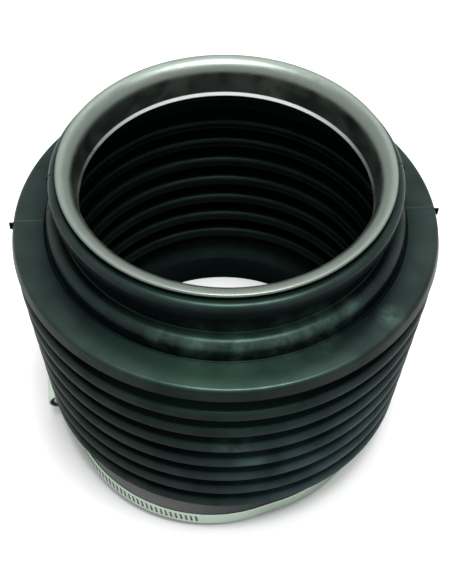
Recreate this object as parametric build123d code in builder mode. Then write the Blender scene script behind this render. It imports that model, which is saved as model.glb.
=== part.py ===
"""Rubber bellows boot with a flared steel insert ring and a loose worm-drive clamp.

Every length is in millimetres. The origin is the centre of the lower cuff's end face, which rests
on the table, and +Z runs up the bellows axis to the steel ring.
"""
from build123d import *

import math
import os

# ---- Folds of the bellows ----
fold_count = 7
fold_pitch = 13.2
fold_root_inset = 0.1
top_fold_depth = 17.6
crest_radius_step = 0.6
fold_wall = 2.4
fold_crest_rounding = 3.0
fold_root_rounding = 0.8

# ---- Lower cuff ----
cuff_height = 16.5
cuff_outer_radius = 73.5
cuff_wall = 3.9
cone_height = 12.2
cuff_edge_rounding = 0.8
cuff_crotch_rounding = 1.5
cuff_shoulder_rounding = 1.5

# ---- Shoulder flange ----
flange_overhang = 0.6
flange_face_draft = 1.3
flange_height = 5.8
flange_edge_rounding = 1.8
flange_under_rounding = 0.9
flange_wall = 3.6
flange_step_width = 1.3
flange_step_depth = 1.5
flange_step_rounding = 0.4

# ---- Rib, clamp groove and bead of the neck ----
neck_wall = 5.7
rib_depth = 6.8
rib_height = 8.6
rib_rounding = 4.6
rib_wall = 4.0
groove_width = 10.2
bead_depth = 3.3
bead_height = 8.6
bead_rounding = 2.6
neck_corner_rounding = 0.8

# ---- Steel insert ring ----
ring_bore_radius = 62.1
ring_sheet = 1.5
ring_height = 17.2
ring_flare_radius = 6.3
ring_lip_land = 0.8
ring_toe_reach = 1.1
ring_toe_height = 1.8
ring_toe_rounding = 1.6
ring_lip_rounding = 0.5
ring_toe_edge_rounding = 0.25
ring_seat_ledge = 1.0
ring_seat_depth = 3.0
ring_lip_gap = 1.7

# ---- Mould flash along the parting plane ----
parting_angle = 4.0
flash_thickness = 0.7
flash_height = 3.6
flash_reach = 1.2
flash_root = 3.6

# ---- Clamp band, which lies loose and askew round the cuff ----
band_width = 9.0
band_sheet = 0.8
band_layer_gap = 0.2
band_slack = 4.0
band_bulge_tightening = 9.7
band_bulge_offset = 14.8
band_bulge_angle = -117.8
slot_pitch = 2.4
slot_width = 1.1
slot_length = 5.2
slot_slant = 9.0
slot_run_start_angle = -92.0
tail_bend_angle = -193.0
tail_length = 12.0
band_start_overhang = 2.0
loop_cuff_gap = 1.2
loop_offset_angle = -117.5
loop_lean = 3.5
loop_lean_angle = -22.5

# ---- Clamp housing ----
housing_angle = -171.5
housing_length = 19.0
housing_sheet = 0.8
housing_band_clearance = 0.1
housing_floor_gap = 0.4
housing_roof_gap = 0.25
tunnel_clearance = 0.3

# ---- Clamp screw ----
worm_radius = 4.5
worm_core_radius = 3.5
worm_band_gap = 0.4
screw_end_gap = 0.3
screw_tip_recess = 1.0
collar_radius = 4.0
collar_thickness = 1.0
head_across_flats = 7.0
head_length = 4.2
head_slot_width = 1.1
head_slot_depth = 1.8

# ---- Radii worked out from the sizes above ----
fold_root_radius = cuff_outer_radius - fold_root_inset
top_crest_radius = fold_root_radius + top_fold_depth
root_centre_radius = fold_root_radius + fold_root_rounding
cuff_bore_radius = cuff_outer_radius - cuff_wall
ring_outer_radius = ring_bore_radius + ring_sheet
ring_lip_radius = ring_bore_radius + ring_flare_radius + ring_lip_land
ring_toe_radius = ring_bore_radius - ring_toe_reach
flare_back_radius = ring_flare_radius - ring_sheet
groove_radius = ring_outer_radius + neck_wall
bead_radius = groove_radius + bead_depth
rib_radius = groove_radius + rib_depth
flange_step_radius = rib_radius + flange_step_width
flange_radius = top_crest_radius + flange_overhang
band_radius = cuff_outer_radius + band_slack
band_bulge_radius = band_radius - band_bulge_tightening

# ---- Heights worked out from the sizes above ----
fold_half = fold_pitch / 2
lowest_crest_height = cuff_height + cone_height
flange_bottom_z = lowest_crest_height + fold_count * fold_pitch
flange_top_z = flange_bottom_z + flange_height
rib_top_z = flange_top_z + rib_height
groove_top_z = rib_top_z + groove_width
neck_top_z = groove_top_z + bead_height
ring_top_z = neck_top_z + ring_lip_gap + ring_sheet
ring_bottom_z = ring_top_z - ring_height


def crest_z(index):
    """Height of a fold's crest, counted from the lower cuff."""
    return lowest_crest_height + index * fold_pitch


def crest_centre_radius(index):
    """Radius at the middle of a fold's crest rounding. The folds draw in a little towards the cuff."""
    steps_down = fold_count - 1 - index
    return top_crest_radius - steps_down * crest_radius_step - fold_crest_rounding


def tangent_slope(reach, rise, roundings):
    """Slope of the straight line that touches two circles on opposite sides, from their centre distances."""
    return math.atan2(rise, reach) - math.asin(roundings / math.hypot(reach, rise))


def wall_slope(index):
    """Slope of the walls between a fold's crest circle and the root circles beside it."""
    reach = crest_centre_radius(index) - root_centre_radius
    return tangent_slope(reach, fold_half, fold_crest_rounding + fold_root_rounding)


# The lowest fold's under side is a plain cone from its crest down to the top of the cuff.
cone_reach = crest_centre_radius(0) - cuff_outer_radius
cone_slope = tangent_slope(cone_reach, cone_height, fold_crest_rounding)


def crest_corner(index, rounding):
    """Point where the two walls of a fold would meet if its crest were sharp."""
    above = wall_slope(index)
    below = cone_slope if index == 0 else above
    reach = rounding * (math.cos(above) + math.cos(below)) / math.sin(above + below)
    rise = rounding * (math.sin(below) - math.sin(above)) / math.sin(above + below)
    return (crest_centre_radius(index) + reach, crest_z(index) + rise)


def fold_corners(inset):
    """Sharp corners of the folds, from the lowest crest up to the top root, each with its rounding."""
    crest_rounding = fold_crest_rounding - inset
    root_rounding = fold_root_rounding + inset
    corners = []
    for index in range(fold_count):
        root_corner = root_centre_radius - root_rounding / math.sin(wall_slope(index))
        corners.append((crest_corner(index, crest_rounding), crest_rounding))
        corners.append(((root_corner, crest_z(index) + fold_half), root_rounding))
    return corners


def points_of(corners):
    """The corner points of a list of (point, rounding) pairs."""
    return [point for point, rounding in corners]


def roundings_of(corners):
    """The corner radii of a list of (point, rounding) pairs."""
    return [rounding for point, rounding in corners]


# ---- Bellows: one moulded rubber piece, revolved from its true section ----
cuff_outside = [
    ((cuff_bore_radius, 0), cuff_edge_rounding),
    ((cuff_outer_radius, 0), cuff_edge_rounding),
    ((cuff_outer_radius, cuff_height), cuff_crotch_rounding),
]
flange_outside = [
    ((flange_radius, flange_bottom_z), flange_under_rounding),
    ((flange_radius - flange_face_draft, flange_top_z), flange_edge_rounding),
    ((flange_step_radius, flange_top_z), neck_corner_rounding),
    ((rib_radius, flange_top_z - flange_step_depth), flange_step_rounding),
]
neck_outside = [
    ((rib_radius, rib_top_z), rib_rounding),
    ((groove_radius, rib_top_z), neck_corner_rounding),
    ((groove_radius, groove_top_z), neck_corner_rounding),
    ((bead_radius, groove_top_z), bead_rounding),
    ((bead_radius, neck_top_z), bead_rounding),
]
ledge_radius = ring_outer_radius - ring_seat_ledge
rib_inside_radius = rib_radius - rib_wall
neck_inside = [
    ((ring_outer_radius, neck_top_z), flare_back_radius),
    ((ring_outer_radius, ring_bottom_z), 0),
    ((ledge_radius, ring_bottom_z), neck_corner_rounding),
    ((ledge_radius, ring_bottom_z - ring_seat_depth), neck_corner_rounding),
    ((rib_inside_radius, flange_top_z + flange_wall), flange_wall),
    ((rib_inside_radius, flange_top_z - flange_wall), neck_corner_rounding),
]
flange_inside = [
    ((crest_centre_radius(fold_count - 1), flange_bottom_z + fold_root_rounding),
     fold_crest_rounding - fold_wall),
]
folds_outside = fold_corners(0)
folds_inside = list(reversed(fold_corners(fold_wall)))
shoulder_z = cuff_height - cuff_wall * math.tan(cone_slope) + fold_wall / math.cos(cone_slope)
cuff_inside = [((cuff_bore_radius, shoulder_z), cuff_shoulder_rounding)]
section = cuff_outside + folds_outside + flange_outside + neck_outside
section += neck_inside + flange_inside + folds_inside + cuff_inside
with BuildPart() as bellows:
    with BuildSketch(Plane.XZ):
        with BuildLine():
            FilletPolyline(*points_of(section), radius=roundings_of(section), close=True)
        make_face()
    revolve(axis=Axis.Z)
    # Flash stands proud of the widest turns, on both sides of the parting plane.
    flash_length = flash_root + flash_reach
    for radius, middle_z in (
        (flange_radius, flange_bottom_z + flange_height / 2),
        (bead_radius, groove_top_z + bead_height / 2),
    ):
        with BuildSketch(Plane.XY.offset(middle_z)):
            with PolarLocations(radius - flash_root + flash_length / 2, 2, start_angle=parting_angle):
                Rectangle(flash_length, flash_thickness)
        extrude(amount=flash_height / 2, both=True)
bellows.part.label = "bellows"

# ---- Steel insert ring: pressed sheet with a bell-mouth lip and an inward-turned toe ----
ring_section = [
    ((ring_lip_radius, ring_top_z), ring_lip_rounding),
    ((ring_bore_radius, ring_top_z), ring_flare_radius),
    ((ring_bore_radius, ring_bottom_z + ring_toe_height), ring_toe_rounding),
    ((ring_toe_radius, ring_bottom_z), ring_toe_edge_rounding),
    ((ring_outer_radius, ring_bottom_z), ring_toe_rounding),
    ((ring_outer_radius, ring_top_z - ring_sheet), flare_back_radius),
    ((ring_lip_radius, ring_top_z - ring_sheet), ring_lip_rounding),
]
with BuildPart() as steel_ring:
    with BuildSketch(Plane.XZ):
        with BuildLine():
            FilletPolyline(*points_of(ring_section), radius=roundings_of(ring_section), close=True)
        make_face()
    revolve(axis=Axis.Z)
steel_ring.part.label = "steel_ring"

# ---- Place of the clamp: set off from the cuff and leaning, with the low side of its loop on the table ----
loop_normal = Vector(0, 0, 1).rotate(Axis.Y, loop_lean).rotate(Axis.Z, loop_lean_angle)
loop_drop = (band_radius + band_sheet) * math.sin(math.radians(loop_lean))
loop_shift = Vector(band_slack - loop_cuff_gap, 0).rotate(Axis.Z, loop_offset_angle)
loop_centre = loop_shift + Vector(0, 0, loop_drop)
loop_plane = Plane(origin=loop_centre, x_dir=(1, 0, 0), z_dir=loop_normal)


def on_loop(plane):
    """A plane given in the loop's own frame, moved to where the loop lies."""
    return Plane(loop_plane * plane.location)


# ---- Clamp band: a strip that runs round the cuff, bulges out on one side and ends in a free tail ----
# Two rounds joined by straight tangents: a large one about the loop's centre and a smaller one set off
# from it. The slotted end comes back onto the large round one layer further out than the plain start.
bulge_centre = Vector(band_bulge_offset, 0).rotate(Axis.Z, band_bulge_angle)
layer_step = band_sheet + band_layer_gap
tail_radius = band_radius + layer_step
band_middle_z = band_width / 2


def tangent_turn(round_radius):
    """Angle from the bulge's own direction to where a straight tangent joins the two rounds."""
    return math.degrees(math.acos((round_radius - band_bulge_radius) / band_bulge_offset))


bulge_start_angle = band_bulge_angle + tangent_turn(band_radius)
bulge_end_angle = band_bulge_angle - tangent_turn(tail_radius)
overhang = housing_length / 2 + band_start_overhang
start_angle = housing_angle + math.degrees(overhang / band_radius)
plain_sweep = bulge_start_angle - 360 - start_angle
bulge_sweep = bulge_end_angle - bulge_start_angle
tail_sweep = tail_bend_angle - bulge_end_angle
strip_ends = []
with BuildPart() as clamp_band:
    with BuildSketch(loop_plane):
        with BuildLine():
            for outward in (0, band_sheet):
                plain = CenterArc((0, 0), band_radius + outward, start_angle, plain_sweep)
                bulge = CenterArc(
                    bulge_centre, band_bulge_radius + outward, bulge_start_angle, bulge_sweep
                )
                slotted = CenterArc((0, 0), tail_radius + outward, bulge_end_angle, tail_sweep)
                Line(plain @ 1, bulge @ 0)
                Line(bulge @ 1, slotted @ 0)
                tail = Line(slotted @ 1, slotted @ 1 + (slotted % 1) * tail_length)
                strip_ends.append((plain @ 0, tail @ 1))
            Line(strip_ends[0][0], strip_ends[1][0])
            Line(strip_ends[0][1], strip_ends[1][1])
        make_face()
    extrude(amount=band_width)
    # Slanted slots for the worm, along the bulge, through the outer layer and on into the free tail.
    slot_cut_depth = band_sheet + layer_step
    bulge_slot_turn = math.degrees(slot_pitch / band_bulge_radius)
    tail_slot_turn = math.degrees(slot_pitch / tail_radius)
    bulge_slot_count = int((slot_run_start_angle - bulge_end_angle) / bulge_slot_turn)
    layer_slot_count = int((bulge_end_angle - tail_bend_angle) / tail_slot_turn)
    tail_slot_count = int(tail_length / slot_pitch) - 1
    bend_radial = Vector(1, 0).rotate(Axis.Z, tail_bend_angle)
    bend_tangent = Vector(0, -1).rotate(Axis.Z, tail_bend_angle)
    slot_places = []
    for index in range(bulge_slot_count):
        radial = Vector(1, 0).rotate(Axis.Z, bulge_end_angle + index * bulge_slot_turn)
        slot_places.append((bulge_centre + radial * (band_bulge_radius - layer_step), radial))
    for index in range(layer_slot_count):
        radial = Vector(1, 0).rotate(Axis.Z, tail_bend_angle + index * tail_slot_turn)
        slot_places.append((radial * (tail_radius - band_layer_gap / 2), radial))
    for index in range(1, tail_slot_count + 1):
        foot = bend_radial * (tail_radius - band_layer_gap / 2) + bend_tangent * index * slot_pitch
        slot_places.append((foot, bend_radial))
    for foot, radial in slot_places:
        middle = foot + Vector(0, 0, band_middle_z)
        with BuildSketch(on_loop(Plane(origin=middle, x_dir=(0, 0, 1), z_dir=radial))):
            SlotOverall(slot_length, slot_width, rotation=slot_slant)
        extrude(amount=slot_cut_depth, mode=Mode.SUBTRACT)
clamp_band.part.label = "clamp_band"

# ---- Clamp housing: a folded steel saddle round both band layers, with a round tunnel for the worm ----
housing_radial = Vector(1, 0).rotate(Axis.Z, housing_angle)
housing_exit = Vector(0, -1).rotate(Axis.Z, housing_angle)
saddle_sag = band_radius - math.sqrt(band_radius**2 - (housing_length / 2) ** 2)
saddle_floor = band_radius - saddle_sag - housing_floor_gap
saddle_roof = tail_radius + band_sheet + housing_roof_gap
saddle_half_width = band_width / 2 + housing_band_clearance
screw_offset = tail_radius + band_sheet + worm_band_gap + worm_core_radius
tunnel_radius = worm_radius + tunnel_clearance
with BuildPart() as clamp_housing:
    with BuildSketch(on_loop(Plane(origin=(0, 0, 0), x_dir=housing_radial, z_dir=housing_exit))):
        saddle_outer = saddle_roof - saddle_floor + 2 * housing_sheet
        with Locations((saddle_floor - housing_sheet + saddle_outer / 2, band_middle_z)):
            Rectangle(saddle_outer, 2 * (saddle_half_width + housing_sheet))
        with Locations((screw_offset, band_middle_z)):
            Circle(tunnel_radius + housing_sheet)
            with Locations((-(screw_offset - saddle_roof) / 2, 0)):
                Rectangle(screw_offset - saddle_roof, 2 * (tunnel_radius + housing_sheet))
            Circle(tunnel_radius, mode=Mode.SUBTRACT)
            with Locations((-(screw_offset - saddle_roof) / 2, 0)):
                Rectangle(screw_offset - saddle_roof, 2 * tunnel_radius, mode=Mode.SUBTRACT)
        with Locations(((saddle_floor + saddle_roof) / 2, band_middle_z)):
            Rectangle(saddle_roof - saddle_floor, 2 * saddle_half_width, mode=Mode.SUBTRACT)
    extrude(amount=housing_length / 2, both=True)
clamp_housing.part.label = "clamp_housing"

# ---- Clamp screw: plain worm core, collar and slotted hex head on one axis ----
screw_origin = housing_radial * screw_offset + Vector(0, 0, band_middle_z)
collar_start = housing_length / 2 + screw_end_gap
screw_plane = on_loop(Plane(origin=screw_origin, x_dir=housing_radial, z_dir=housing_exit))
with BuildPart() as clamp_screw:
    with BuildSketch(screw_plane.offset(screw_tip_recess - housing_length / 2)):
        Circle(worm_core_radius)
    extrude(amount=collar_start + housing_length / 2 - screw_tip_recess)
    with BuildSketch(screw_plane.offset(collar_start)):
        Circle(collar_radius)
    extrude(amount=collar_thickness)
    with BuildSketch(screw_plane.offset(collar_start + collar_thickness)):
        RegularPolygon(head_across_flats / 2, 6, major_radius=False)
    extrude(amount=head_length)
    with BuildSketch(screw_plane.offset(collar_start + collar_thickness + head_length)):
        Rectangle(2 * head_across_flats, head_slot_width)
    extrude(amount=-head_slot_depth, mode=Mode.SUBTRACT)
clamp_screw.part.label = "clamp_screw"

os.makedirs("parts", exist_ok=True)
export_step(bellows.part, "parts/bellows.step")
export_step(steel_ring.part, "parts/steel_ring.step")
export_step(clamp_band.part, "parts/clamp_band.step")
export_step(clamp_housing.part, "parts/clamp_housing.step")
export_step(clamp_screw.part, "parts/clamp_screw.step")
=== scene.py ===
"""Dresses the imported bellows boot: moulded rubber, a satin steel ring and a worm-drive clamp.

Sizes are in millimetres, as in the part's source, and turned into metres where a mesh is made.
"""

import math

import bmesh
import bpy
from mathutils import Matrix, Vector


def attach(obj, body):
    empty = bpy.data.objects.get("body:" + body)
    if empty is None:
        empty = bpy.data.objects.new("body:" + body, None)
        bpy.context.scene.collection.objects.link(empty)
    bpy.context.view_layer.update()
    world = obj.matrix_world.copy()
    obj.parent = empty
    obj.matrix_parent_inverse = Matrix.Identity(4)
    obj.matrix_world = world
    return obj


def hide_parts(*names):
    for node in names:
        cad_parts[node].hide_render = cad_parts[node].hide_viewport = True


MM = 0.001

# ---- Folds ----
FOLD_COUNT = 7
FOLD_PITCH = 13.2
TOP_CREST_RADIUS = 91.0
CREST_RADIUS_STEP = 0.6
LOWEST_CREST_HEIGHT = 28.7
FOLD_ROOT_RADIUS = 73.4
FOLD_WALL = 2.4
FOLD_CREST_ROUNDING = 3.0
FOLD_ROOT_ROUNDING = 0.8

# ---- Lower cuff ----
CUFF_HEIGHT = 16.5
CUFF_OUTER_RADIUS = 73.5
CUFF_BORE_RADIUS = 69.6
CUFF_EDGE_ROUNDING = 0.8
CUFF_CROTCH_ROUNDING = 1.5
CUFF_SHOULDER_ROUNDING = 1.5

# ---- Shoulder flange ----
FLANGE_RADIUS = 91.6
FLANGE_DRAFT = 1.3
FLANGE_HEIGHT = 5.8
FLANGE_EDGE_ROUNDING = 1.8
FLANGE_UNDER_ROUNDING = 0.9
FLANGE_WALL = 3.6
FLANGE_STEP_RADIUS = 77.4
FLANGE_STEP_DEPTH = 1.5
FLANGE_STEP_ROUNDING = 0.4

# ---- Neck ----
RIB_RADIUS = 76.1
RIB_HEIGHT = 8.6
RIB_ROUNDING = 4.6
RIB_WALL = 4.0
GROOVE_RADIUS = 69.3
GROOVE_WIDTH = 10.2
BEAD_RADIUS = 72.6
BEAD_HEIGHT = 8.6
BEAD_ROUNDING = 2.6
NECK_CORNER_ROUNDING = 0.8

# ---- Steel ring ----
RING_BORE_RADIUS = 62.1
RING_SHEET = 1.5
RING_HEIGHT = 17.2
RING_LIP_RADIUS = 69.2
RING_FLARE_RADIUS = 6.3
RING_TOE_RADIUS = 61.0
RING_TOE_HEIGHT = 1.8
RING_TOE_ROUNDING = 1.6
RING_LIP_ROUNDING = 0.5
RING_TOE_EDGE_ROUNDING = 0.25
# Height and radius of the ring's toe whose steel is made brighter, a painted highlight along its rounding.
TOE_HIGHLIGHT_HEIGHT = 1.62
TOE_HIGHLIGHT_RADIUS = 62.2
RING_SEAT_LEDGE = 1.0
RING_SEAT_DEPTH = 3.0
RING_LIP_GAP = 1.7

# ---- Clamp band ----
BAND_WIDTH = 9.0
BAND_SHEET = 0.8
BAND_LAYER_GAP = 0.2
BAND_RADIUS = 77.5
BULGE_RADIUS = 67.8
BULGE_OFFSET = 14.8
BULGE_ANGLE = math.radians(-117.8)
BAND_EDGE_ROUNDING = 0.15
SLOT_PITCH = 2.4
SLOT_WIDTH = 1.1
SLOT_LENGTH = 5.2
SLOT_SLANT = math.radians(9.0)
SLOT_CELL_HALF = 3.3
SLOT_RUN_START = math.radians(-92.0)
TAIL_BEND = math.radians(-193.0)
TAIL_LENGTH = 12.0
START_OVERHANG = 2.0
LOOP_OFFSET = 2.8
LOOP_OFFSET_ANGLE = math.radians(-117.5)
LOOP_LEAN = math.radians(3.5)
LOOP_LEAN_ANGLE = math.radians(-22.5)

# ---- Clamp housing ----
HOUSING_ANGLE = math.radians(-171.5)
HOUSING_LENGTH = 19.0
HOUSING_SHEET = 0.8
HOUSING_SIDE_GAP = 0.1
HOUSING_FLOOR_GAP = 0.4
HOUSING_CORNER = 1.2
HOUSING_EDGE = 0.12
TUNNEL_RADIUS = 4.8

# ---- Clamp screw ----
SCREW_CORE_RADIUS = 3.5
SCREW_BAND_GAP = 0.4
THREAD_ROOT_RADIUS = 3.0
THREAD_CREST_RADIUS = 3.75
THREAD_COLUMNS = 28
THREAD_STEP = 0.24
SCREW_END_GAP = 0.3
SCREW_TIP_RECESS = 1.0
COLLAR_RADIUS = 4.0
COLLAR_THICKNESS = 1.0
HEAD_ACROSS_FLATS = 7.0
HEAD_LENGTH = 4.2
HEAD_CHAMFER = 0.35
HEAD_COLUMNS = 36
HEAD_SLOT_WIDTH = 1.1
HEAD_SLOT_DEPTH = 1.8

# ---- Radii and heights worked out from the sizes above ----
FOLD_HALF = FOLD_PITCH / 2
ROOT_CENTRE_RADIUS = FOLD_ROOT_RADIUS + FOLD_ROOT_ROUNDING
FLANGE_BOTTOM_Z = LOWEST_CREST_HEIGHT + FOLD_COUNT * FOLD_PITCH
FLANGE_TOP_Z = FLANGE_BOTTOM_Z + FLANGE_HEIGHT
RIB_TOP_Z = FLANGE_TOP_Z + RIB_HEIGHT
GROOVE_TOP_Z = RIB_TOP_Z + GROOVE_WIDTH
NECK_TOP_Z = GROOVE_TOP_Z + BEAD_HEIGHT
RING_OUTER_RADIUS = RING_BORE_RADIUS + RING_SHEET
RING_TOP_Z = NECK_TOP_Z + RING_LIP_GAP + RING_SHEET
RING_BOTTOM_Z = RING_TOP_Z - RING_HEIGHT
FLARE_BACK_RADIUS = RING_FLARE_RADIUS - RING_SHEET

# ---- Mould parting ridge and flash ----
PARTING_ANGLE = math.radians(4.0)
RIDGE_HEIGHT = 0.16
RIDGE_HALF_ANGLE = math.radians(0.16)
FLASH_THICKNESS = 0.7
FLASH_REACH = 0.8
FLASH_ROOT = 3.6
FLASH_HEIGHT = 3.6

# ---- Rubber's look ----
RUBBER_DARK = (0.0024, 0.0046, 0.0052)
RUBBER_LIGHT = (0.0040, 0.0078, 0.0074)
RUBBER_SHEEN = (0.62, 1.0, 0.86)
LOWER_FOLD_LIGHT_COLOUR = (0.024, 0.043, 0.052)
FLANGE_SHEEN_COLOUR = (0.016, 0.038, 0.027)
SCUFF_AND_HIGHLIGHT_COLOUR = (0.036, 0.066, 0.054)

# Spots where the rubber is scuffed paler, and where a painted highlight runs along the rib's front, each
# with how far it spreads.
SCUFF_AND_HIGHLIGHT_SPOTS = (
    ((-24, -72, 134), 8),
    ((-10, -75, 134), 11),
    ((6, -76, 134), 12),
    ((22, -73, 134), 12),
    ((37, -66, 134), 12),
    ((50, -57, 134), 8),
    ((66, -54, 127), 7),
    ((6, -89, 84), 12),
    ((14, -88, 68), 10),
)

# Where the lower folds at the front right are painted paler and bluer, a painted light, and how far it
# spreads.
LOWER_FOLD_LIGHT_SPOT = ((45, -78, 45), 75)

# Where faces that look up at the front of the flange get a painted sheen, and how far that spreads.
FLANGE_SHEEN_SPOT = ((-4, -92, 127), 62)

# How far the rubber looks round itself for its gloss, in metres: for its small gaps and for its hollow,
# where its reflection is taken down as a painted shade.
GAP_SHADE_REACH = 0.026
SHELTER_REACH = 0.150
OPENNESS_SAMPLES = 6

# ---- Fineness of the turned pieces ----
COLUMNS = 216
ARC_STEP = math.radians(15)

# ---- Surroundings: lamps as (name, place, size, power), in metres and watts ----
AMBIENT_LIGHT = 0.45
LAMPS = (
    ("overhead", (0.08, -0.15, 1.4), 0.5, 18),
    ("behind", (0.10, 0.80, 1.45), 0.7, 3),
)
LAMP_TARGET = (0, 0, 0.1)
FLOOR_HALF = 3.0
FLOOR_GLOW = 0.35
FLOOR_SHADE_REACH = 0.05

# ---- Camera ----
CAMERA_BACK = 287.74
CAMERA_HEIGHT = 431.91
CAMERA_PITCH = math.radians(51.25)
CAMERA_ROLL = math.radians(1.05)
CAMERA_YAW = math.radians(0.12)
SENSOR_HEIGHT = 36.0
LENS = 60.17


# ---------------------------------------------------------------- outlines

def rounded(corners):
    """Points of a closed outline whose corners (radius, height, rounding) are turned into arcs.

    Each point comes with the number of the corner that it belongs to.
    """
    points = []
    for index, (r, z, rounding) in enumerate(corners):
        here = Vector((r, z))
        if rounding == 0:
            points.append((here, index))
            continue
        before = Vector(corners[index - 1][:2])
        after = Vector(corners[(index + 1) % len(corners)][:2])
        back = (before - here).normalized()
        ahead = (after - here).normalized()
        half = back.angle(ahead) / 2
        centre = here + (back + ahead).normalized() * (rounding / math.sin(half))
        tangent = rounding / math.tan(half)
        first = here + back * tangent - centre
        last = here + ahead * tangent - centre
        sweep = first.angle_signed(last)
        steps = max(3, math.ceil(abs(sweep) / ARC_STEP))
        for step in range(steps + 1):
            turn = Matrix.Rotation(-sweep * step / steps, 2)
            points.append((centre + turn @ first, index))
    return points


def crest_z(index):
    """Height of a fold's crest, counted from the lower cuff."""
    return LOWEST_CREST_HEIGHT + index * FOLD_PITCH


def crest_centre_radius(index):
    """Radius at the middle of a fold's crest rounding; the folds draw in a little towards the cuff."""
    steps_down = FOLD_COUNT - 1 - index
    return TOP_CREST_RADIUS - steps_down * CREST_RADIUS_STEP - FOLD_CREST_ROUNDING


def tangent_slope(reach, rise, roundings):
    """Slope of the line that touches two circles on opposite sides, from their centres' distances."""
    return math.atan2(rise, reach) - math.asin(roundings / math.hypot(reach, rise))


def wall_slope(index):
    """Slope of the walls of a fold."""
    reach = crest_centre_radius(index) - ROOT_CENTRE_RADIUS
    return tangent_slope(reach, FOLD_HALF, FOLD_CREST_ROUNDING + FOLD_ROOT_ROUNDING)


def cone_slope():
    """Slope of the plain cone under the lowest fold."""
    reach = crest_centre_radius(0) - CUFF_OUTER_RADIUS
    return tangent_slope(reach, LOWEST_CREST_HEIGHT - CUFF_HEIGHT, FOLD_CREST_ROUNDING)


def crest_corner(index, rounding):
    """Point where the two walls of a fold would meet if its crest were sharp."""
    above = wall_slope(index)
    below = cone_slope() if index == 0 else above
    reach = rounding * (math.cos(above) + math.cos(below)) / math.sin(above + below)
    rise = rounding * (math.sin(below) - math.sin(above)) / math.sin(above + below)
    return crest_centre_radius(index) + reach, crest_z(index) + rise


def fold_corners(inset):
    """Corners of the folds from the lowest crest up to the top root, on a line set in by inset."""
    crest_rounding = FOLD_CREST_ROUNDING - inset
    root_rounding = FOLD_ROOT_ROUNDING + inset
    corners = []
    for index in range(FOLD_COUNT):
        root_r = ROOT_CENTRE_RADIUS - root_rounding / math.sin(wall_slope(index))
        corners.append((*crest_corner(index, crest_rounding), crest_rounding))
        corners.append((root_r, crest_z(index) + FOLD_HALF, root_rounding))
    return corners


def bellows_outside():
    """Outer corners of the boot, from the cuff's end face up to the neck's top."""
    step_z = FLANGE_TOP_Z - FLANGE_STEP_DEPTH
    return [
        (CUFF_BORE_RADIUS, 0, CUFF_EDGE_ROUNDING),
        (CUFF_OUTER_RADIUS, 0, CUFF_EDGE_ROUNDING),
        (CUFF_OUTER_RADIUS, CUFF_HEIGHT, CUFF_CROTCH_ROUNDING),
        *fold_corners(0),
        (FLANGE_RADIUS, FLANGE_BOTTOM_Z, FLANGE_UNDER_ROUNDING),
        (FLANGE_RADIUS - FLANGE_DRAFT, FLANGE_TOP_Z, FLANGE_EDGE_ROUNDING),
        (FLANGE_STEP_RADIUS, FLANGE_TOP_Z, NECK_CORNER_ROUNDING),
        (RIB_RADIUS, step_z, FLANGE_STEP_ROUNDING),
        (RIB_RADIUS, RIB_TOP_Z, RIB_ROUNDING),
        (GROOVE_RADIUS, RIB_TOP_Z, NECK_CORNER_ROUNDING),
        (GROOVE_RADIUS, GROOVE_TOP_Z, NECK_CORNER_ROUNDING),
        (BEAD_RADIUS, GROOVE_TOP_Z, BEAD_ROUNDING),
        (BEAD_RADIUS, NECK_TOP_Z, BEAD_ROUNDING),
    ]


def bellows_inside():
    """Inner corners of the boot, from the ring's seat down to the cuff's bore."""
    ledge = RING_OUTER_RADIUS - RING_SEAT_LEDGE
    rib_inside = RIB_RADIUS - RIB_WALL
    slope = cone_slope()
    shoulder_z = CUFF_HEIGHT + FOLD_WALL / math.cos(slope)
    shoulder_z -= (CUFF_OUTER_RADIUS - CUFF_BORE_RADIUS) * math.tan(slope)
    top_crest = crest_centre_radius(FOLD_COUNT - 1)
    return [
        (RING_OUTER_RADIUS, NECK_TOP_Z, FLARE_BACK_RADIUS),
        (RING_OUTER_RADIUS, RING_BOTTOM_Z, 0),
        (ledge, RING_BOTTOM_Z, NECK_CORNER_ROUNDING),
        (ledge, RING_BOTTOM_Z - RING_SEAT_DEPTH, NECK_CORNER_ROUNDING),
        (rib_inside, FLANGE_TOP_Z + FLANGE_WALL, FLANGE_WALL),
        (rib_inside, FLANGE_TOP_Z - FLANGE_WALL, NECK_CORNER_ROUNDING),
        (top_crest, FLANGE_BOTTOM_Z + FOLD_ROOT_ROUNDING, FOLD_CREST_ROUNDING - FOLD_WALL),
        *reversed(fold_corners(FOLD_WALL)),
        (CUFF_BORE_RADIUS, shoulder_z, CUFF_SHOULDER_ROUNDING),
    ]


def ring_corners():
    """Corners of the pressed steel ring's section."""
    return [
        (RING_OUTER_RADIUS, RING_TOP_Z - RING_SHEET, FLARE_BACK_RADIUS),
        (RING_LIP_RADIUS, RING_TOP_Z - RING_SHEET, RING_LIP_ROUNDING),
        (RING_LIP_RADIUS, RING_TOP_Z, RING_LIP_ROUNDING),
        (RING_BORE_RADIUS, RING_TOP_Z, RING_FLARE_RADIUS),
        (RING_BORE_RADIUS, RING_BOTTOM_Z + RING_TOE_HEIGHT, RING_TOE_ROUNDING),
        (RING_TOE_RADIUS, RING_BOTTOM_Z, RING_TOE_EDGE_ROUNDING),
        (RING_OUTER_RADIUS, RING_BOTTOM_Z, RING_TOE_ROUNDING),
    ]


# ---------------------------------------------------------------- meshes

def mesh_object(name, vertices, faces, sharp=math.radians(40)):
    """Mesh object from points in millimetres, shaded smooth except across sharp edges."""
    mesh = bpy.data.meshes.new(name)
    mesh.from_pydata([Vector(v) * MM for v in vertices], [], faces)
    shape = bmesh.new()
    shape.from_mesh(mesh)
    bmesh.ops.recalc_face_normals(shape, faces=shape.faces)
    shape.to_mesh(mesh)
    shape.free()
    mesh.shade_smooth()
    mesh.set_sharp_from_angle(angle=sharp)
    obj = bpy.data.objects.new(name, mesh)
    bpy.context.scene.collection.objects.link(obj)
    return obj


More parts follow.
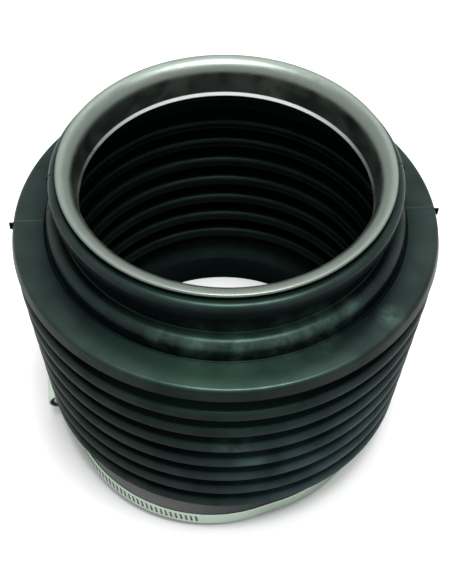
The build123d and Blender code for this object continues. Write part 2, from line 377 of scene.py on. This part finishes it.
def lathe(name, points, angles):
    """Turned piece from a closed outline of (radius, height) points, given for each column of points.

    points is a function of the angle, so that a column can stand proud of the others.
    """
    vertices = []
    for angle in angles:
        for r, z in points(angle):
            vertices.append((r * math.cos(angle), r * math.sin(angle), z))
    rows = len(vertices) // len(angles)
    faces = []
    for column in range(len(angles)):
        here = column * rows
        beside = (column + 1) % len(angles) * rows
        for row in range(rows):
            up = (row + 1) % rows
            faces.append((here + row, beside + row, beside + up, here + up))
    return mesh_object(name, vertices, faces)


def even_angles():
    """Evenly spaced column angles."""
    return [math.tau * column / COLUMNS for column in range(COLUMNS)]


def parting_angles():
    """Column angles with three more close together at each side of the mould's parting plane."""
    angles = set(even_angles())
    for side in (0, math.pi):
        for turn in (-RIDGE_HALF_ANGLE, 0, RIDGE_HALF_ANGLE):
            angles.add((PARTING_ANGLE + side + turn) % math.tau)
    return sorted(angles)


def outward(points, index):
    """Unit normal of a closed outline at one of its points, away from the solid."""
    along = points[(index + 1) % len(points)] - points[index - 1]
    return Vector((along.y, -along.x)).normalized()


def build_bellows():
    """The moulded rubber boot, with the parting ridge proud of its outer surface above its bottom edge."""
    outside = bellows_outside()
    tagged = rounded(outside + bellows_inside())
    plain = [point for point, corner in tagged]
    ridged = []
    for index, (point, corner) in enumerate(tagged):
        on_skin = corner < len(outside) and point.y > CUFF_EDGE_ROUNDING
        proud = RIDGE_HEIGHT if on_skin else 0
        ridged.append(point + outward(plain, index) * proud)
    crowns = [(PARTING_ANGLE + side) % math.tau for side in (0, math.pi)]

    def column(angle):
        return ridged if angle in crowns else plain

    return lathe("bellows_rubber", column, parting_angles())


def build_ring():
    """The pressed steel insert ring."""
    plain = [point for point, corner in rounded(ring_corners())]
    return lathe("insert_ring", lambda angle: plain, even_angles())


def box_mesh(vertices, faces, centre, along, across, half):
    """Adds a box to a mesh's lists; half holds its half sizes along, across and up."""
    first = len(vertices)
    for up in (-1, 1):
        for x, y in ((-1, -1), (1, -1), (1, 1), (-1, 1)):
            corner = centre + along * x * half[0] + across * y * half[1]
            vertices.append((corner.x, corner.y, corner.z + up * half[2]))
    for face in ((3, 2, 1, 0), (4, 5, 6, 7), (0, 1, 5, 4), (1, 2, 6, 5), (2, 3, 7, 6), (3, 0, 4, 7)):
        faces.append([first + corner for corner in face])


def build_flash():
    """Tags of mould flash that stand proud of the flange and the bead on the parting plane."""
    vertices = []
    faces = []
    length = FLASH_ROOT + FLASH_REACH
    for side in (0, math.pi):
        along = Vector((math.cos(PARTING_ANGLE + side), math.sin(PARTING_ANGLE + side), 0))
        across = Vector((-along.y, along.x, 0))
        for radius, z in (
            (FLANGE_RADIUS, FLANGE_BOTTOM_Z + FLANGE_HEIGHT / 2),
            (BEAD_RADIUS, GROOVE_TOP_Z + BEAD_HEIGHT / 2),
        ):
            centre = along * (radius - FLASH_ROOT + length / 2) + Vector((0, 0, z))
            half = (length / 2, FLASH_THICKNESS / 2, FLASH_HEIGHT / 2)
            box_mesh(vertices, faces, centre, along, across, half)
    return mesh_object("mould_flash", vertices, faces)


# ---------------------------------------------------------------- clamp, in its own leaning frame

def loop_matrix():
    """Place of the clamp's loop: set off from the cuff and leaning, its low side on the floor."""
    lean = Matrix.Rotation(LOOP_LEAN_ANGLE, 3, "Z") @ Matrix.Rotation(LOOP_LEAN, 3, "Y")
    normal = lean @ Vector((0, 0, 1))
    across = normal.cross(Vector((1, 0, 0))).normalized()
    along = across.cross(normal)
    drop = (BAND_RADIUS + BAND_SHEET) * math.sin(LOOP_LEAN)
    shift = Matrix.Rotation(LOOP_OFFSET_ANGLE, 3, "Z") @ Vector((LOOP_OFFSET, 0, 0))
    place = Matrix((along, across, normal)).transposed().to_4x4()
    place.translation = (shift + Vector((0, 0, drop))) * MM
    return place


def polar(radius, angle):
    """Point in the loop's plane."""
    return Vector((radius * math.cos(angle), radius * math.sin(angle)))


LAYER_STEP = BAND_SHEET + BAND_LAYER_GAP
TAIL_RADIUS = BAND_RADIUS + LAYER_STEP
BULGE_CENTRE = polar(BULGE_OFFSET, BULGE_ANGLE)
BULGE_START = BULGE_ANGLE + math.acos((BAND_RADIUS - BULGE_RADIUS) / BULGE_OFFSET)
BULGE_END = BULGE_ANGLE - math.acos((TAIL_RADIUS - BULGE_RADIUS) / BULGE_OFFSET)
STRIP_START = HOUSING_ANGLE + (HOUSING_LENGTH / 2 + START_OVERHANG) / BAND_RADIUS
SCREW_OFFSET = TAIL_RADIUS + BAND_SHEET + SCREW_BAND_GAP + SCREW_CORE_RADIUS


def strip_segments():
    """Pieces of the strip's inner face in order: (length, function of the distance along it).

    Each function gives the place and the outward normal's angle.
    """
    origin = Vector((0, 0))
    segments = []
    last = None
    for centre, radius, first, final in (
        (origin, BAND_RADIUS, STRIP_START + math.tau, BULGE_START),
        (BULGE_CENTRE, BULGE_RADIUS, BULGE_START, BULGE_END),
        (origin, TAIL_RADIUS, BULGE_END, TAIL_BEND),
    ):
        begin = centre + polar(radius, first)
        if last is not None:
            segments.append(straight(last, (begin - last).length, first))
        segments.append(arc(centre, radius, first, final))
        last = centre + polar(radius, final)
    segments.append(straight(last, TAIL_LENGTH, TAIL_BEND))
    return segments


def arc(centre, radius, first, final):
    """Segment that turns clockwise round a centre."""
    def place(u):
        angle = first - u / radius
        return centre + polar(radius, angle), angle

    return (first - final) * radius, place


def straight(begin, length, angle):
    """Straight segment whose outward normal has the given angle."""
    def place(u):
        return begin + polar(u, angle - math.pi / 2), angle

    return length, place


def strip_place(segments, u):
    """Place and outward normal at a distance along the strip."""
    for length, place in segments[:-1]:
        if u <= length:
            return place(u)
        u -= length
    return segments[-1][1](u)


def build_band():
    """The clamp's strip, with slanted slots cut through its free end."""
    segments = strip_segments()
    total = sum(length for length, place in segments)
    plain_run = segments[0][0] + segments[1][0]
    slot_start = plain_run + (BULGE_START - SLOT_RUN_START) * BULGE_RADIUS
    slot_count = int((total - slot_start) / SLOT_PITCH) - 1
    plain_count = round(slot_start / SLOT_PITCH)
    stations = [slot_start * k / plain_count for k in range(plain_count)]
    stations += [slot_start + k * SLOT_PITCH for k in range(slot_count + 1)]
    stations.append(total)

    half = BAND_WIDTH / 2
    inner = half - BAND_EDGE_ROUNDING
    side = [SLOT_CELL_HALF * k / 3 for k in range(-3, 4)]
    rows = [-half, -inner, *side, inner, half]
    face_rows = range(2, 2 + len(side))
    vertices = []

    def add(u, v, depth):
        point, angle = strip_place(segments, max(0.0, min(total, u)))
        x, y = point + polar(depth, angle)
        vertices.append((x, y, half + v))
        return len(vertices) - 1

    def slant_at(u):
        if u < slot_start:
            return math.tan(SLOT_SLANT) * max(0.0, 1 - (slot_start - u) / (4 * SLOT_PITCH))
        return math.tan(SLOT_SLANT) * min(1.0, (total - u) / SLOT_PITCH)

    columns = []
    for u in stations:
        slant = slant_at(u)
        outer = []
        under = []
        for v in rows:
            ease = BAND_EDGE_ROUNDING if abs(v) == half else 0
            outer.append(add(u + v * slant, v, BAND_SHEET - ease))
            under.append(add(u + v * slant, v, ease))
        columns.append((outer, under))

    faces = []
    for k in range(len(columns) - 1):
        slotted = plain_count <= k < plain_count + slot_count
        here, beside = columns[k], columns[k + 1]
        for row in range(len(rows) - 1):
            if slotted and row in face_rows[:-1]:
                continue
            for face, flip in ((0, False), (1, True)):
                quad = [here[face][row], beside[face][row], beside[face][row + 1], here[face][row + 1]]
                faces.append(quad[::-1] if flip else quad)
        for row in (0, -1):
            quad = [here[0][row], here[1][row], beside[1][row], beside[0][row]]
            faces.append(quad if row == 0 else quad[::-1])
        if slotted:
            middle = (stations[k] + stations[k + 1]) / 2
            faces += slot_faces(add, here, beside, face_rows, middle, math.tan(SLOT_SLANT))
    for column, flip in ((columns[0], False), (columns[-1], True)):
        loop = [*column[0], *reversed(column[1])]
        faces.append(loop[::-1] if flip else loop)
    return mesh_object("band_strip", vertices, faces)


def slot_faces(add, here, beside, face_rows, middle, slant):
    """Faces of one cell of the strip round its slot, and the slot's own walls."""
    radius = SLOT_WIDTH / 2
    straight_half = SLOT_LENGTH / 2 - radius
    corner = radius * math.sqrt(0.5)
    left = [(-corner, -straight_half - corner)]
    left += [(-radius, straight_half * k / 2) for k in range(-2, 3)]
    left.append((-corner, straight_half + corner))
    tip = (0, SLOT_LENGTH / 2)
    outline = left + [tip] + [(-x, v) for x, v in reversed(left)] + [(0, -SLOT_LENGTH / 2)]
    rims = []
    for depth in (BAND_SHEET, 0):
        rims.append([add(middle + x + v * slant, v, depth) for x, v in outline])
    count = len(left)
    faces = []
    for face, rim in enumerate(rims):
        near = [here[face][row] for row in face_rows]
        far = [beside[face][row] for row in face_rows]
        near_rim = rim[:count]
        far_rim = rim[count + 1:2 * count + 1][::-1]
        cell = []
        for k in range(count - 1):
            cell.append([near[k], near_rim[k], near_rim[k + 1], near[k + 1]])
            cell.append([far[k + 1], far_rim[k + 1], far_rim[k], far[k]])
        cell.append([near[-1], near_rim[-1], rim[count], far_rim[-1], far[-1]])
        cell.append([far[0], far_rim[0], rim[-1], near_rim[0], near[0]])
        faces += cell if face == 0 else [loop[::-1] for loop in cell]
    size = len(outline)
    for k in range(size):
        ahead = (k + 1) % size
        faces.append([rims[0][k], rims[1][k], rims[1][ahead], rims[0][ahead]])
    return faces


def housing_point(x, across, along):
    """Point beside the screw: x out from the loop's centre, across the band and along the screw."""
    radial = polar(1, HOUSING_ANGLE)
    leave = polar(1, HOUSING_ANGLE - math.pi / 2)
    flat = radial * x + leave * along
    return (flat.x, flat.y, BAND_WIDTH / 2 + across)


def build_housing():
    """The folded saddle that wraps both layers of the strip and arches over the screw."""
    half_length = HOUSING_LENGTH / 2
    sag = BAND_RADIUS - math.sqrt(BAND_RADIUS**2 - half_length**2)
    floor = BAND_RADIUS - sag - HOUSING_FLOOR_GAP
    side = BAND_WIDTH / 2 + HOUSING_SIDE_GAP
    crown = SCREW_OFFSET + TUNNEL_RADIUS

    def outline(grow, corner):
        return [point for point, index in rounded([
            (floor - grow, -side - grow, corner),
            (crown + grow, -TUNNEL_RADIUS - grow, TUNNEL_RADIUS + grow),
            (crown + grow, TUNNEL_RADIUS + grow, TUNNEL_RADIUS + grow),
            (floor - grow, side + grow, corner),
        ])]

    edge = HOUSING_EDGE
    skins = (
        (outline(0, HOUSING_CORNER - HOUSING_SHEET), half_length - edge),
        (outline(edge, HOUSING_CORNER - HOUSING_SHEET + edge), half_length),
        (outline(HOUSING_SHEET - edge, HOUSING_CORNER - edge), half_length),
        (outline(HOUSING_SHEET, HOUSING_CORNER), half_length - edge),
    )
    vertices = []
    rings = []
    for direction in (1, -1):
        for points, reach in skins if direction == 1 else reversed(skins):
            rings.append(len(vertices))
            for x, across in points:
                vertices.append(housing_point(x, across, reach * direction))
    size = len(skins[0][0])
    faces = []
    for k, ring in enumerate(rings):
        beyond = rings[(k + 1) % len(rings)]
        for point in range(size):
            ahead = (point + 1) % size
            faces.append((ring + point, ring + ahead, beyond + ahead, beyond + point))
    return mesh_object("screw_housing", vertices, faces)


def screw_solid(name, rings):
    """Closed turned solid along the screw's axis from rings of (distance along, list of radii)."""
    vertices = []
    size = len(rings[0][1])
    for along, radii in rings:
        for k, radius in enumerate(radii):
            offset = polar(radius, math.tau * k / size)
            vertices.append(housing_point(SCREW_OFFSET + offset.x, offset.y, along))
    faces = [list(range(size))]
    for ring in range(len(rings) - 1):
        for k in range(size):
            ahead = (k + 1) % size
            first = ring * size
            faces.append((first + k, first + size + k, first + size + ahead, first + ahead))
    faces.append([(len(rings) - 1) * size + k for k in reversed(range(size))])
    return mesh_object(name, vertices, faces)


def build_worm():
    """The screw's body: a worm thread that fades out at both ends, and a round collar."""
    start = SCREW_TIP_RECESS - HOUSING_LENGTH / 2
    end = HOUSING_LENGTH / 2 + SCREW_END_GAP
    count = round((end - start) / THREAD_STEP)
    rings = []
    for step in range(count + 1):
        along = start + (end - start) * step / count
        fade = min(1.0, (along - start) / SLOT_PITCH, (end - along) / SLOT_PITCH)
        radii = []
        for k in range(THREAD_COLUMNS):
            phase = along / SLOT_PITCH - k / THREAD_COLUMNS
            ridge = 0.5 + 0.5 * math.cos(math.tau * phase)
            height = (THREAD_CREST_RADIUS - THREAD_ROOT_RADIUS) * fade * ridge
            radii.append(THREAD_ROOT_RADIUS + height)
        rings.append((along, radii))
    for radius, along in (
        (COLLAR_RADIUS - HOUSING_EDGE, end),
        (COLLAR_RADIUS, end + HOUSING_EDGE),
        (COLLAR_RADIUS, end + COLLAR_THICKNESS - HOUSING_EDGE),
        (COLLAR_RADIUS - HOUSING_EDGE, end + COLLAR_THICKNESS),
    ):
        rings.append((along, [radius] * THREAD_COLUMNS))
    return screw_solid("worm_screw", rings)


def build_head():
    """The hexagonal head, chamfered at its end and slotted across."""
    base = HOUSING_LENGTH / 2 + SCREW_END_GAP + COLLAR_THICKNESS
    tip = base + HEAD_LENGTH
    flat = HEAD_ACROSS_FLATS / 2
    hexagon = []
    for k in range(HEAD_COLUMNS):
        turn = math.tau * k / HEAD_COLUMNS
        from_flat = (turn + math.pi / 6) % (math.pi / 3) - math.pi / 6
        hexagon.append(flat / math.cos(from_flat))
    end = [min(radius, flat) - HEAD_CHAMFER / 2 for radius in hexagon]
    shoulder = [min(radius, flat + HEAD_CHAMFER) for radius in hexagon]
    head = screw_solid("screw_head", [
        (base, hexagon),
        (tip - HEAD_CHAMFER * 2, hexagon),
        (tip - HEAD_CHAMFER, shoulder),
        (tip, end),
    ])
    vertices = []
    faces = []
    centre = Vector(housing_point(SCREW_OFFSET, 0, tip))
    radial = Vector((*polar(1, HOUSING_ANGLE), 0))
    leave = Vector((*polar(1, HOUSING_ANGLE - math.pi / 2), 0))
    half = (HEAD_SLOT_DEPTH, HEAD_SLOT_WIDTH / 2, HEAD_ACROSS_FLATS)
    box_mesh(vertices, faces, centre, leave, radial, half)
    cutter = mesh_object("slot_cutter", vertices, faces)
    slot = head.modifiers.new("slot", "BOOLEAN")
    slot.operation = "DIFFERENCE"
    slot.object = cutter
    evaluated = head.evaluated_get(bpy.context.evaluated_depsgraph_get())
    head.data = bpy.data.meshes.new_from_object(evaluated)
    head.modifiers.clear()
    bpy.data.objects.remove(cutter)
    return head


def paint_toe_highlight(ring, steel):
    """Gives the toe at the ring's foot its own brighter steel, a painted highlight along its rounding."""
    ring.data.materials.append(steel)
    for face in ring.data.polygons:
        low = face.center.z < (RING_BOTTOM_Z + TOE_HIGHLIGHT_HEIGHT) * MM
        inside = math.hypot(face.center.x, face.center.y) < TOE_HIGHLIGHT_RADIUS * MM
        if low and inside:
            face.material_index = 1


# ---------------------------------------------------------------- materials

def new_material(name):
    """Node material, with its node tree and its Principled shader."""
    material = bpy.data.materials.new(name)
    material.use_nodes = True
    return material, material.node_tree, material.node_tree.nodes["Principled BSDF"]


def noise(tree, scale, detail=4.0, roughness=0.55):
    """Noise in the object's own coordinates."""
    place = tree.nodes.new("ShaderNodeTexCoord")
    node = tree.nodes.new("ShaderNodeTexNoise")
    node.inputs["Scale"].default_value = scale
    node.inputs["Detail"].default_value = detail
    node.inputs["Roughness"].default_value = roughness
    tree.links.new(place.outputs["Object"], node.inputs["Vector"])
    return node.outputs["Fac"]


def remap(tree, value, low, high, to_low, to_high):
    """value from the range low..high to the range to_low..to_high, clamped."""
    node = tree.nodes.new("ShaderNodeMapRange")
    node.inputs["From Min"].default_value = low
    node.inputs["From Max"].default_value = high
    node.inputs["To Min"].default_value = to_low
    node.inputs["To Max"].default_value = to_high
    tree.links.new(value, node.inputs["Value"])
    return node.outputs["Result"]


def mix_node(tree, factor, second):
    """Node that mixes a colour towards the second one by a factor."""
    node = tree.nodes.new("ShaderNodeMix")
    node.data_type = "RGBA"
    node.inputs["B"].default_value = (*second, 1)
    tree.links.new(factor, node.inputs["Factor"])
    return node


def mix_colour(tree, factor, first, second):
    """Mix of two colours by a factor."""
    node = mix_node(tree, factor, second)
    node.inputs["A"].default_value = (*first, 1)
    return node.outputs["Result"]


def tint(tree, factor, value, colour):
    """A colour value moved towards another colour by a factor."""
    node = mix_node(tree, factor, colour)
    tree.links.new(value, node.inputs["A"])
    return node.outputs["Result"]


def bump(tree, height, strength, distance):
    """Bump from a height value."""
    node = tree.nodes.new("ShaderNodeBump")
    node.inputs["Strength"].default_value = strength
    node.inputs["Distance"].default_value = distance
    tree.links.new(height, node.inputs["Height"])
    return node.outputs["Normal"]


def openness(tree, distance):
    """How open a spot is to its surroundings within a distance, from 0 in a deep gap to 1 in the clear."""
    node = tree.nodes.new("ShaderNodeAmbientOcclusion")
    node.samples = OPENNESS_SAMPLES
    node.inputs["Distance"].default_value = distance
    return node.outputs["AO"]


def facing_up(tree):
    """How far a surface faces up, from -1 to 1."""
    surface = tree.nodes.new("ShaderNodeNewGeometry")
    parts = tree.nodes.new("ShaderNodeSeparateXYZ")
    tree.links.new(surface.outputs["Normal"], parts.inputs["Vector"])
    return parts.outputs["Z"]


def combine(tree, operation, first, second):
    """Two values put together by a math operation."""
    node = tree.nodes.new("ShaderNodeMath")
    node.operation = operation
    tree.links.new(first, node.inputs[0])
    tree.links.new(second, node.inputs[1])
    return node.outputs["Value"]


def near_spot(tree, spot, reach):
    """1 at a spot of the object, falling to 0 at a distance of reach from it."""
    place = tree.nodes.new("ShaderNodeTexCoord")
    apart = tree.nodes.new("ShaderNodeVectorMath")
    apart.operation = "DISTANCE"
    apart.inputs[1].default_value = Vector(spot) * MM
    tree.links.new(place.outputs["Object"], apart.inputs[0])
    return remap(tree, apart.outputs["Value"], 0, reach * MM, 1, 0)


def rubber_material():
    """Black moulded rubber with a satin skin, its gloss painted: shinier where it stands proud and faces
    up, a painted highlight, and dull in the gaps, a painted shade.
    """
    material, tree, shader = new_material("moulded_rubber")
    blotch = noise(tree, 22, 4)
    smear = noise(tree, 60, 5)
    grain = noise(tree, 1100, 2)
    shade = remap(tree, blotch, 0.35, 0.65, 0, 1)
    colour = mix_colour(tree, shade, RUBBER_DARK, RUBBER_LIGHT)
    # Painted light: the lower folds at the front right are made paler and bluer, broken up by the smear.
    uneven = remap(tree, smear, 0.35, 0.60, 0.4, 1)
    lower_fold_light = combine(tree, "MULTIPLY", near_spot(tree, *LOWER_FOLD_LIGHT_SPOT), uneven)
    colour = tint(tree, lower_fold_light, colour, LOWER_FOLD_LIGHT_COLOUR)
    # Painted sheen: faces that look up at the front of the flange are made paler.
    sheen_facing = remap(tree, facing_up(tree), 0.6, 1.0, 0, 1)
    flange_sheen = combine(tree, "MULTIPLY", near_spot(tree, *FLANGE_SHEEN_SPOT), sheen_facing)
    colour = tint(tree, flange_sheen, colour, FLANGE_SHEEN_COLOUR)
    # Scuffs, and a painted highlight along the rib's front: paler colour broken up by noise, and more
    # gloss further down.
    scuff_and_highlight_spots = near_spot(tree, *SCUFF_AND_HIGHLIGHT_SPOTS[0])
    for spot, reach in SCUFF_AND_HIGHLIGHT_SPOTS[1:]:
        scuff_and_highlight_spots = combine(tree, "MAXIMUM", scuff_and_highlight_spots, near_spot(tree, spot, reach))
    broken = remap(tree, noise(tree, 130, 6, 0.65), 0.36, 0.62, 0, 1)
    scuff_and_highlight = combine(tree, "MULTIPLY", scuff_and_highlight_spots, broken)
    colour = tint(tree, scuff_and_highlight, colour, SCUFF_AND_HIGHLIGHT_COLOUR)
    tree.links.new(colour, shader.inputs["Base Color"])
    tree.links.new(remap(tree, blotch, 0.3, 0.7, 0.27, 0.40), shader.inputs["Roughness"])
    # Painted shade and highlight in the reflection: less gloss in small gaps, in the hollow and on faces
    # that do not look up, and more on what stands proud and faces up.
    gloss = remap(tree, openness(tree, GAP_SHADE_REACH), 0.50, 0.98, 0.01, 0.42)
    for share in (
        remap(tree, openness(tree, SHELTER_REACH), 0.12, 0.75, 0.15, 1.0),
        remap(tree, smear, 0.36, 0.60, 0.75, 1.2),
        remap(tree, facing_up(tree), 0.0, 0.8, 0.06, 1.0),
        remap(tree, scuff_and_highlight, 0, 1, 1, 1.8),
    ):
        gloss = combine(tree, "MULTIPLY", gloss, share)
    tree.links.new(gloss, shader.inputs["Specular IOR Level"])
    tree.links.new(bump(tree, grain, 0.10, 0.0002), shader.inputs["Normal"])
    shader.inputs["Specular Tint"].default_value = (*RUBBER_SHEEN, 1)
    return material


def steel_material(name, colour, roughness, mottle):
    """Satin steel whose gloss varies a little by mottle."""
    material, tree, shader = new_material(name)
    cloud = noise(tree, 90, 4)
    fine = noise(tree, 1500, 3)
    low, high = roughness - mottle, roughness + mottle
    shader.inputs["Metallic"].default_value = 1.0
    shader.inputs["Base Color"].default_value = (*colour, 1)
    tree.links.new(remap(tree, cloud, 0.35, 0.65, low, high), shader.inputs["Roughness"])
    tree.links.new(bump(tree, fine, 0.25, 0.0001), shader.inputs["Normal"])
    return material


# ---------------------------------------------------------------- stage

def build_world():
    """White surroundings, full for what looks at them and dimmer as light on the object."""
    world = bpy.data.worlds.new("studio")
    bpy.context.scene.world = world
    world.use_nodes = True
    tree = world.node_tree
    background = tree.nodes["Background"]
    rays = tree.nodes.new("ShaderNodeLightPath")
    seen = combine(tree, "MAXIMUM", rays.outputs["Is Camera Ray"], rays.outputs["Is Glossy Ray"])
    seen = combine(tree, "MAXIMUM", seen, rays.outputs["Is Transmission Ray"])
    strength = remap(tree, seen, 0, 1, AMBIENT_LIGHT, 1)
    tree.links.new(strength, background.inputs["Strength"])
    background.inputs["Color"].default_value = (1, 1, 1, 1)


def build_floor():
    """Pale floor that keeps the object's shadow and glows to white in the open for the camera alone; near
    the object the glow gives way to a painted shade.
    """
    mesh = bpy.data.meshes.new("floor")
    corners = [(-FLOOR_HALF, -FLOOR_HALF, 0), (FLOOR_HALF, -FLOOR_HALF, 0)]
    corners += [(FLOOR_HALF, FLOOR_HALF, 0), (-FLOOR_HALF, FLOOR_HALF, 0)]
    mesh.from_pydata(corners, [], [(0, 1, 2, 3)])
    floor = bpy.data.objects.new("floor", mesh)
    bpy.context.scene.collection.objects.link(floor)
    material, tree, shader = new_material("floor_paper")
    shader.inputs["Base Color"].default_value = (0.9, 0.9, 0.9, 1)
    shader.inputs["Roughness"].default_value = 0.9
    shader.inputs["Specular IOR Level"].default_value = 0.0
    rays = tree.nodes.new("ShaderNodeLightPath")
    seen = remap(tree, rays.outputs["Is Camera Ray"], 0, 1, 0, FLOOR_GLOW)
    # Painted shade: the glow is taken away where the floor is closed in by the object, under and round it.
    clear = remap(tree, openness(tree, FLOOR_SHADE_REACH), 0.30, 0.80, 0, 1)
    shader.inputs["Emission Color"].default_value = (1, 1, 1, 1)
    tree.links.new(combine(tree, "MULTIPLY", seen, clear), shader.inputs["Emission Strength"])
    mesh.materials.append(material)


def build_lamps():
    """Soft square lamps, each aimed at the object."""
    for name, place, size, power in LAMPS:
        data = bpy.data.lights.new(name, "AREA")
        data.shape = "SQUARE"
        data.size = size
        data.energy = power
        lamp = bpy.data.objects.new(name, data)
        lamp.location = place
        aim = Vector(LAMP_TARGET) - Vector(place)
        lamp.rotation_euler = aim.to_track_quat("-Z", "Y").to_euler()
        bpy.context.scene.collection.objects.link(lamp)


def build_camera():
    """Camera that looks down on the object as in the photo."""
    data = bpy.data.cameras.new("camera")
    data.sensor_fit = "VERTICAL"
    data.sensor_height = SENSOR_HEIGHT
    data.lens = LENS
    camera = bpy.data.objects.new("camera", data)
    bpy.context.scene.collection.objects.link(camera)
    tilt = Matrix.Rotation(math.pi / 2 - CAMERA_PITCH, 3, "X")
    turn = Matrix.Rotation(-CAMERA_YAW, 3, "Z") @ tilt @ Matrix.Rotation(CAMERA_ROLL, 3, "Z")
    camera.matrix_world = turn.to_4x4()
    camera.location = Vector((0, -CAMERA_BACK, CAMERA_HEIGHT)) * MM
    bpy.context.scene.camera = camera


# ---------------------------------------------------------------- scene

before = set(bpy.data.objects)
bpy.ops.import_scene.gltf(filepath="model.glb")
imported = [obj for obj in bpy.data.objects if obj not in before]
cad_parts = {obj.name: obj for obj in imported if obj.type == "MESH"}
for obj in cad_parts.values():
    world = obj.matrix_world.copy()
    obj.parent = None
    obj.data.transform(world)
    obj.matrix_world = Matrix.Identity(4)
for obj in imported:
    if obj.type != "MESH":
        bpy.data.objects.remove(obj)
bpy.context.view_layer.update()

rubber = rubber_material()
ring_steel = steel_material("ring_steel", (0.19, 0.225, 0.20), 0.37, 0.07)
# Brighter steel for the ring's toe: a painted highlight.
toe_highlight_steel = steel_material("toe_highlight_steel", (0.88, 0.90, 0.89), 0.30, 0.03)
band_steel = steel_material("band_steel", (0.52, 0.64, 0.54), 0.34, 0.04)
screw_steel = steel_material("screw_steel", (0.58, 0.60, 0.58), 0.30, 0.05)

clamp_place = loop_matrix()
for builder, node, body, slot, material in (
    (build_bellows, "bellows", "boot", "rubber", rubber),
    (build_flash, "bellows", "boot", "rubber", rubber),
    (build_ring, "steel_ring", "boot", "ring_steel", ring_steel),
    (build_band, "clamp_band", "boot", "band_steel", band_steel),
    (build_housing, "clamp_housing", "boot", "band_steel", band_steel),
    (build_worm, "clamp_screw", "screw", "screw_steel", screw_steel),
    (build_head, "clamp_screw", "screw", "screw_steel", screw_steel),
):
    piece = builder()
    if node.startswith("clamp"):
        piece.data.transform(clamp_place)
    piece.data.materials.append(material)
    if node == "steel_ring":
        paint_toe_highlight(piece, toe_highlight_steel)
    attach(piece, body)
    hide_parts(node)

build_world()
build_floor()
build_lamps()
build_camera()
bpy.context.scene.view_settings.view_transform = "Standard"
